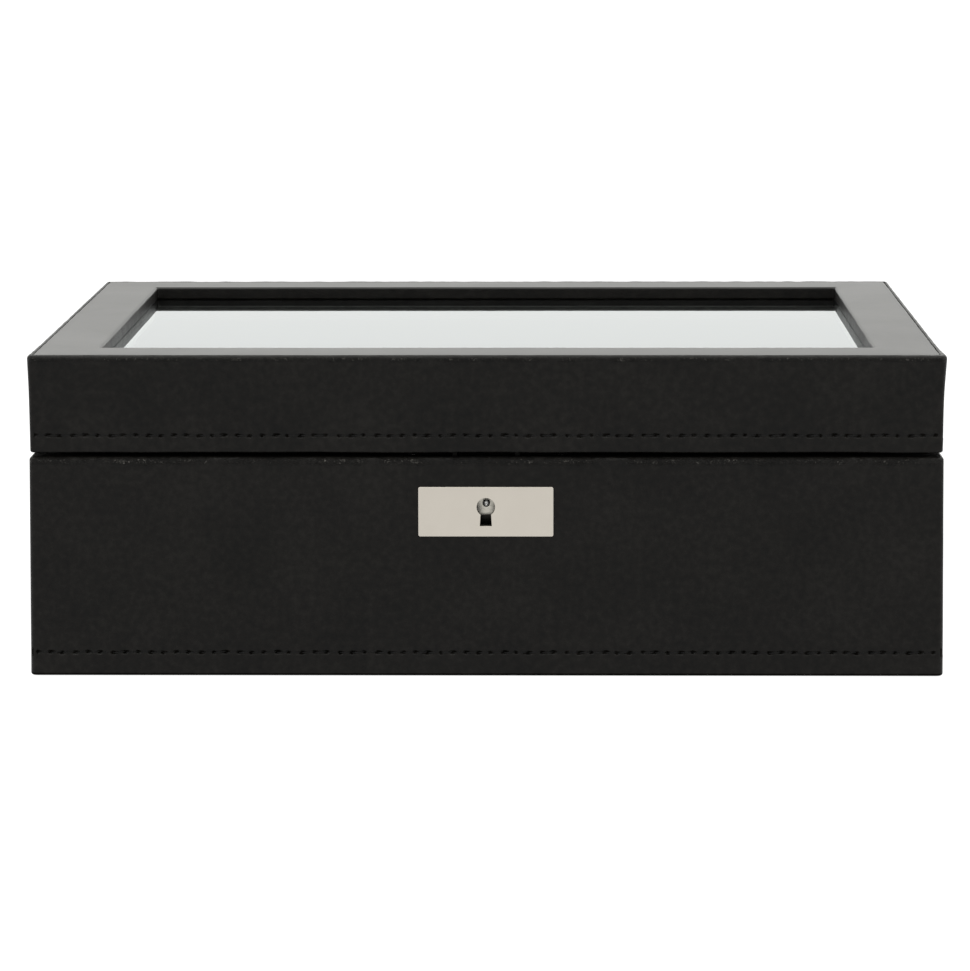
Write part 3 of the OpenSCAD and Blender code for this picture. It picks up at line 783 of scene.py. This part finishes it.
for k, side in enumerate(("front", "back", "left", "right")):
    low, high = box_mm("base_panel_" + side)
    gap = np.array([0.02, 0.02, 0.0])
    rounded_box("lining_" + side, low + gap, high - gap, 1.1, 7, SUEDE, "base",
                ("base_panel_" + side,), nap_shift(0.06, 22, k))
    low, high = box_mm("glass_bead_" + side)
    rounded_box("bead_" + side, low + 0.02, high - 0.02, 0.7, 8, SUEDE, "lid",
                ("glass_bead_" + side,), nap_shift(0.04, 9, 10 + k))

low, high = box_mm("base_felt")
rounded_box("under_felt", low, high, 0.35, 12, FELT, "base", ("base_felt",))


def pad_shift(p, n):
    """The floor pad is held down by the dividers and swells a little in each cell."""
    low, high = box_mm("base_floor_pad")
    if n[2] < 0.5:
        return np.zeros(3)
    across = (p[0] - low[0]) / (high[0] - low[0]) * 4
    along = (p[1] - low[1]) / (high[1] - low[1]) * 2
    swell = abs(math.sin(math.pi * across) * math.sin(math.pi * along)) ** 0.35
    return np.array([0, 0, -0.35 + 0.3 * swell + 0.05 * wander(p[0] / 15, p[1] / 15, 0, 20)])


low, high = box_mm("base_floor_pad")
floor_pad = rounded_box("floor_pad", low, high, 0.9, 4.5, SUEDE, "base", ("base_floor_pad",),
                        pad_shift)

LINE_Z = float(box_mm("lid_lining")[1][2])
lining_profile = (
    [(11.0, LID_Z + 1.02), (11.7, LID_Z + 1.02), (12.0, LID_Z + 1.3)]
    + [(12.0, z) for z in np.linspace(LID_Z + 4, LINE_Z - 3.2, 5)]
    + [(12.0 + 2.0 * (1 - math.cos(a)), LINE_Z - 3.0 + 2.0 * math.sin(a))
       for a in np.linspace(0, math.pi / 2, 6)]
    + [(i, LINE_Z - 1.0) for i in (15.5, 18, 20.4)]
    + [(22.1, LINE_Z - 0.95), (22.4, LINE_Z - 0.6), (22.4, LINE_Z - 0.02), (11.0, LINE_Z - 0.02)]
)


def lining_shift(spot, inset, z):
    x, y, _, _ = ring_point(spot, 12)
    return 0.04 * wander(x / 14, y / 14, z / 10, 30), 0.0


swept_skin("lid_suede", lining_profile, ring_spots(np.arange(0, AROUND, 5.0)), SUEDE, "lid",
           ("lid_lining",), "suede", lining_shift)

for node in ("divider_long", "divider_cross_1", "divider_cross_2", "divider_cross_3"):
    soften(node, SUEDE, 1.1, 4, node + "_wrapped")


# ---------------------------------------------------------------- cushions

def cushion_shell(size, edge):
    """A closed roll about the origin: rounded in Y and Z, ends crowned along X."""
    w, l, h = size
    n, m = 56, 15
    verts, faces = [], []
    for i in range(m):
        t = -1 + 2 * i / (m - 1)
        x = t * w / 2
        shrink = edge * (1 - max(0.0, 1 - max(0.0, abs(t) - 0.72) ** 2 / 0.28 ** 2) ** 0.5)
        for j in range(n):
            a = 2 * math.pi * j / n
            ca, sa = math.cos(a), math.sin(a)
            e = 2.0 / 3.1
            y = math.copysign(abs(ca) ** e, ca) * (l / 2 - shrink)
            z = math.copysign(abs(sa) ** e, sa) * (h / 2 - shrink)
            verts.append((x, y, z))
    for i in range(m - 1):
        for j in range(n):
            k = (j + 1) % n
            faces.append((i * n + j, i * n + k, (i + 1) * n + k, (i + 1) * n + j))
    faces.append(tuple(reversed(range(n))))
    faces.append(tuple(range((m - 1) * n, m * n)))
    return verts, faces


def swollen(seed):
    """The skin of one cushion about the origin, blown up by a short cloth simulation."""
    verts, faces = cushion_shell((51.0, 80.0, 45.0), 4.0)
    obj = build("cushion_form", verts, faces, PLUSH, None)
    outward(obj)
    remesh = obj.modifiers.new("skin", "REMESH")
    remesh.mode = "VOXEL"
    remesh.voxel_size = 4.0 * MM
    settle(obj)
    start = np.array([v.co for v in obj.data.vertices])
    blow = obj.modifiers.new("cloth", "CLOTH")
    blow.settings.use_pressure = True
    blow.settings.uniform_pressure_force = 3.5 + 0.5 * seed
    blow.settings.effector_weights.gravity = 0
    blow.point_cache.frame_start, blow.point_cache.frame_end = 1, 20
    for f in range(1, 21):
        bpy.context.scene.frame_set(f)
    settle(obj)
    bpy.context.scene.frame_set(1)
    moved = np.array([v.co for v in obj.data.vertices]) - start
    far = np.linalg.norm(moved, axis=1, keepdims=True)
    moved *= np.minimum(1.0, CUSHION_CAP * MM / np.maximum(far, 1e-9))
    obj.data.vertices.foreach_set("co", (start + moved).astype(np.float32).ravel())
    rounder = obj.modifiers.new("round", "SUBSURF")
    rounder.levels = rounder.render_levels = 1
    settle(obj)
    co = np.array([v.co for v in obj.data.vertices]) / MM
    faces = [tuple(p.vertices) for p in obj.data.polygons]
    bpy.data.objects.remove(obj)
    return co, faces


def seam_line(co, x, n=72):
    """How far from the X axis the skin is round the seam at x, at n angles."""
    near = co[np.abs(co[:, 0] - x) < 2.2]
    ang = np.arctan2(near[:, 2], near[:, 1])
    far = np.hypot(near[:, 1], near[:, 2])
    out = []
    for k in range(n):
        a = -math.pi + 2 * math.pi * k / n
        w = np.exp(-(((ang - a + math.pi) % (2 * math.pi) - math.pi) / 0.06) ** 2)
        out.append(float((far * w).sum() / max(w.sum(), 1e-9)))
    return out


def tube_ring(verts, faces, centres, r, sides=8):
    """A closed tube along a ring of points, added to verts and faces."""
    first, n = len(verts), len(centres)
    pts = np.array(centres)
    for k in range(n):
        along = pts[(k + 1) % n] - pts[k - 1]
        along /= np.linalg.norm(along)
        u = np.array([1.0, 0.0, 0.0])
        v = np.cross(along, u)
        for j in range(sides):
            a = 2 * math.pi * j / sides
            verts.append(pts[k] + r * (math.cos(a) * u + math.sin(a) * v))
    for k in range(n):
        l = (k + 1) % n
        for j in range(sides):
            i = (j + 1) % sides
            faces.append((first + k * sides + j, first + l * sides + j,
                          first + l * sides + i, first + k * sides + i))


CUSHION_CAP = 5.0
SEAM_X = 22.0
SKINS = [swollen(seed) for seed in (0, 1)]


def cushion(number):
    """One watch cushion in its cell, with a corded seam round each end."""
    node = "cushion_%d" % number
    low, high = box_mm(node)
    middle, half = (low + high) / 2, (high - low) / 2
    co, faces = SKINS[number % 2]
    co = co.copy()
    if number % 4 > 1:
        co[:, :2] *= -1
    reach = np.abs(co).max(axis=0)
    co *= np.minimum(1.0, (half + (0.4, 0.3, 0.2)) / reach)
    lines = {s: seam_line(co, s * SEAM_X) for s in (-1, 1)}
    for s in (-1, 1):
        pull = 0.9 * np.exp(-(((co[:, 0] - s * SEAM_X) / 1.5) ** 2))
        far = np.maximum(np.hypot(co[:, 1], co[:, 2]), 1e-6)
        co[:, 1:] *= (1 - pull / far)[:, None]
    dent = np.array([wander(*(p / 13), number) for p in co])
    far = np.maximum(np.linalg.norm(co, axis=1), 1e-6)
    co *= (1 + 0.35 * dent / far)[:, None]
    co[:, 2] = np.maximum(co[:, 2], -half[2])
    made = build(node + "_cover", co + middle, faces, PLUSH, node, (node,))
    outward(made)
    made.data.polygons.foreach_set("use_smooth", [True] * len(made.data.polygons))
    verts, rings = [], []
    for s in (-1, 1):
        centres = []
        for k, far in enumerate(lines[s]):
            a = -math.pi + 2 * math.pi * k / len(lines[s])
            z = max((far - 0.15) * math.sin(a), -half[2] + 0.7)
            centres.append((middle[0] + s * SEAM_X, middle[1] + (far - 0.15) * math.cos(a),
                            middle[2] + z))
        tube_ring(verts, rings, centres, 0.7)
    cord = build(node + "_piping", verts, rings, PLUSH, node, ())
    outward(cord)


for number in range(1, 9):
    cushion(number)


# ---------------------------------------------------------------- lock and hinges

def plate_piece():
    """The lock plate: rounded corners, eased edges, the keyhole through it."""
    low, high = box_mm("lock_plate")
    face_y, wide, tall = low[1], (high[0] - low[0]) / 2, (high[2] - low[2]) / 2
    thick, ease, corner = 0.8, 0.16, 0.6
    curve = bpy.data.curves.new("plate_outline", "CURVE")
    curve.dimensions, curve.fill_mode = "2D", "BOTH"
    outline = []
    for side in range(4):
        sx, sy = ((1, -1), (1, 1), (-1, 1), (-1, -1))[side]
        for k in range(7):
            a = math.radians(-90 + side * 90 + 15 * k)
            outline.append((sx * (wide - corner) + corner * math.cos(a),
                            sy * (tall - corner) + corner * math.sin(a)))
    hole = [(x, z + KEY_Z - (low[2] + high[2]) / 2) for x, z in keyhole_curve(0.0, 48)]
    for points in (outline, hole):
        line = curve.splines.new("POLY")
        line.points.add(len(points) - 1)
        for point, (x, z) in zip(line.points, points):
            point.co = (x * MM, z * MM, 0, 1)
        line.use_cyclic_u = True
    curve.extrude = (thick / 2 - ease) * MM
    curve.bevel_depth, curve.bevel_resolution = ease * MM, 3
    curve.offset = -ease * MM
    drawn = bpy.data.objects.new("plate_outline", curve)
    bpy.context.scene.collection.objects.link(drawn)
    bpy.context.view_layer.update()
    mesh = bpy.data.meshes.new_from_object(drawn.evaluated_get(bpy.context.evaluated_depsgraph_get()))
    bpy.data.objects.remove(drawn)
    obj = bpy.data.objects.new("lock_escutcheon", mesh)
    bpy.context.scene.collection.objects.link(obj)
    turn = Matrix.Rotation(math.pi / 2, 4, "X")
    place = Matrix.Translation(Vector(((low[0] + high[0]) / 2, face_y + thick / 2,
                                       (low[2] + high[2]) / 2)) * MM)
    mesh.transform(place @ turn)
    outward(obj)
    dress(obj, NICKEL, "base", ("lock_plate",))
    mesh.polygons.foreach_set("use_smooth", [abs(p.normal.y) < 0.99 for p in mesh.polygons])


plate_piece()

# The lock case, selvage and strike take the painted-shade steel; the cap takes the nickel with painted
# light and shadow.
for node, mat, slot_name, width, segments in (
        ("lock_case", SHADE_STEEL, "nickel", 0.15, 2), ("lock_cap", CAP, "nickel", 0.15, 2),
        ("lock_selvage", SHADE_STEEL, "nickel", 0.15, 2), ("lock_strike", SHADE_STEEL, "nickel", 0.15, 2),
        ("lock_post", STEEL, "steel", 0.18, 2), ("lock_bolt", STEEL, "steel", 0.2, 2),
        ("lock_spring", STEEL, "steel", 0.08, 1),
        ("hinge_base_leaf_left", NICKEL, "nickel", 0.12, 2),
        ("hinge_base_leaf_right", NICKEL, "nickel", 0.12, 2),
        ("hinge_lid_leaf_left", NICKEL, "nickel", 0.12, 2),
        ("hinge_lid_leaf_right", NICKEL, "nickel", 0.12, 2),
        ("hinge_pin_left", STEEL, "steel", 0.2, 2), ("hinge_pin_right", STEEL, "steel", 0.2, 2)):
    soften(node, mat, width, segments)


def slotted(node, spots, z, up_side, r):
    """Screws with a saw-cut slot across each head, turned differently."""
    obj = soften(node, STEEL, 0.12, 2)
    cuts = []
    for k, (x, y) in enumerate(spots):
        a = 0.5 + 1.9 * k
        depth = 0.28
        pts = [(-r - 0.3, -0.17), (r + 0.3, -0.17), (r + 0.3, 0.17), (-r - 0.3, 0.17)]
        flat = [(x + px * math.cos(a) - py * math.sin(a), y + px * math.sin(a) + py * math.cos(a))
                for px, py in pts]
        z0, z1 = (z - depth, z + 1) if up_side else (z - 1, z + depth)
        verts = [(px, py, z0) for px, py in flat] + [(px, py, z1) for px, py in flat]
        faces = [(0, 1, 2, 3), (7, 6, 5, 4), (0, 4, 5, 1), (1, 5, 6, 2), (2, 6, 7, 3), (3, 7, 4, 0)]
        cuts.append((verts, faces))
    carve(obj, cuts)
    dress(obj, STEEL, None)
    obj.data.set_sharp_from_angle(angle=math.radians(40))


LEAF_T = 0.7
hinge_spots = [(s * HINGE_X + i * 13.0, FRONT_Y + 2 * HALF_D - 5.5) for s in (-1, 1) for i in (-1, 0, 1)]
LOCK_Y = float(selvage_low[1] + selvage_high[1]) / 2
slotted("hinge_screws_base", hinge_spots, RIM_Z + LEAF_T, True, 1.7)
slotted("hinge_screws_lid", hinge_spots, LID_Z - LEAF_T, False, 1.7)
slotted("lock_screws", [(-23.6, LOCK_Y), (23.6, LOCK_Y)], RIM_Z, True, 1.5)
slotted("strike_screws", [(-14.3, LOCK_Y), (14.3, LOCK_Y)], LID_Z, False, 1.5)


# ---------------------------------------------------------------- boards and glass

for node in ("base_floor_board", "base_board_front", "base_board_back", "base_board_left",
             "base_board_right", "lid_wall_front", "lid_wall_back", "lid_wall_left",
             "lid_wall_right", "lid_frame_board"):
    NODES[node].data.materials.clear()
    NODES[node].data.materials.append(STAINED if node == "lid_frame_board" else BOARD)
pane = soften("lid_glass", GLASS, 0.4, 2, "glass_pane")


# ---------------------------------------------------------------- studio

def floor_and_light():
    mesh = bpy.data.meshes.new("floor")
    far = 40.0
    low = -0.0003
    mesh.from_pydata([(-far, -far, low), (far, -far, low), (far, far, low), (-far, far, low)], [],
                     [(0, 1, 2, 3)])
    floor = bpy.data.objects.new("floor", mesh)
    bpy.context.scene.collection.objects.link(floor)
    mat, tree, bsdf, place = shader("floor_white")
    bsdf.inputs["Base Color"].default_value = (0.12, 0.12, 0.12, 1)
    bsdf.inputs["Roughness"].default_value = 1.0
    bsdf.inputs["Specular IOR Level"].default_value = 0.0
    bsdf.inputs["Emission Color"].default_value = (1, 1, 1, 1)
    bsdf.inputs["Emission Strength"].default_value = 0.96
    gone = tree.nodes.new("ShaderNodeBsdfTransparent")
    mix = tree.nodes.new("ShaderNodeMixShader")
    tree.links.new(tree.nodes.new("ShaderNodeNewGeometry").outputs["Backfacing"], mix.inputs[0])
    tree.links.new(bsdf.outputs[0], mix.inputs[1])
    tree.links.new(gone.outputs[0], mix.inputs[2])
    tree.links.new(mix.outputs[0], tree.nodes["Material Output"].inputs["Surface"])
    mesh.materials.append(mat)

    world = bpy.data.worlds.new("studio")
    bpy.context.scene.world = world
    world.use_nodes = True
    tree = world.node_tree
    back = tree.nodes["Background"]
    way = tree.nodes.new("ShaderNodeTexCoord").outputs["Generated"]
    split = tree.nodes.new("ShaderNodeSeparateXYZ")
    tree.links.new(way, split.inputs[0])
    level = remap(tree, split.outputs["Y"], -0.7, 0.7, WORLD_FRONT, WORLD_BACK)
    top = remap(tree, split.outputs["Z"], 0.7, 0.97, 0.0, 1.0)
    rest = combine(tree, "MULTIPLY", level, combine(tree, "SUBTRACT", 1.0, top))
    tree.links.new(combine(tree, "ADD", rest, combine(tree, "MULTIPLY", top, WORLD_TOP)),
                   back.inputs["Strength"])
    back.inputs["Color"].default_value = (1.0, 1.0, 0.97, 1)

    for name, place, size, watts in (("key", (-0.9, -0.3, 1.7), 1.2, 6.5),
                                     ("fill", (1.1, 0.5, 1.6), 1.4, 8.0)):
        light = bpy.data.lights.new(name, "AREA")
        light.shape, light.size, light.energy = "SQUARE", size, watts
        lamp = bpy.data.objects.new(name, light)
        bpy.context.scene.collection.objects.link(lamp)
        lamp.location = place
        lamp.rotation_euler = (Vector((0, 0, 0.05)) - Vector(place)).to_track_quat("-Z", "Y").to_euler()


WORLD_FRONT, WORLD_BACK, WORLD_TOP = 1.15, 1.5, 3.0
floor_and_light()

CAM_AT = (0.0229, -1.5223, 0.2593)
CAM_DOWN, CAM_LEFT, CAM_ROLL = 8.05, 0.95, -0.106
camera = bpy.data.objects.new("camera", bpy.data.cameras.new("camera"))
bpy.context.scene.collection.objects.link(camera)
bpy.context.scene.camera = camera
camera.data.lens, camera.data.sensor_width = 163.8, 36.0
camera.location = CAM_AT
camera.rotation_euler = (Matrix.Rotation(math.radians(CAM_LEFT), 3, "Z")
                         @ Matrix.Rotation(math.radians(90 - CAM_DOWN), 3, "X")
                         @ Matrix.Rotation(math.radians(CAM_ROLL), 3, "Z")).to_euler()
bpy.context.scene.view_settings.view_transform = "Standard"
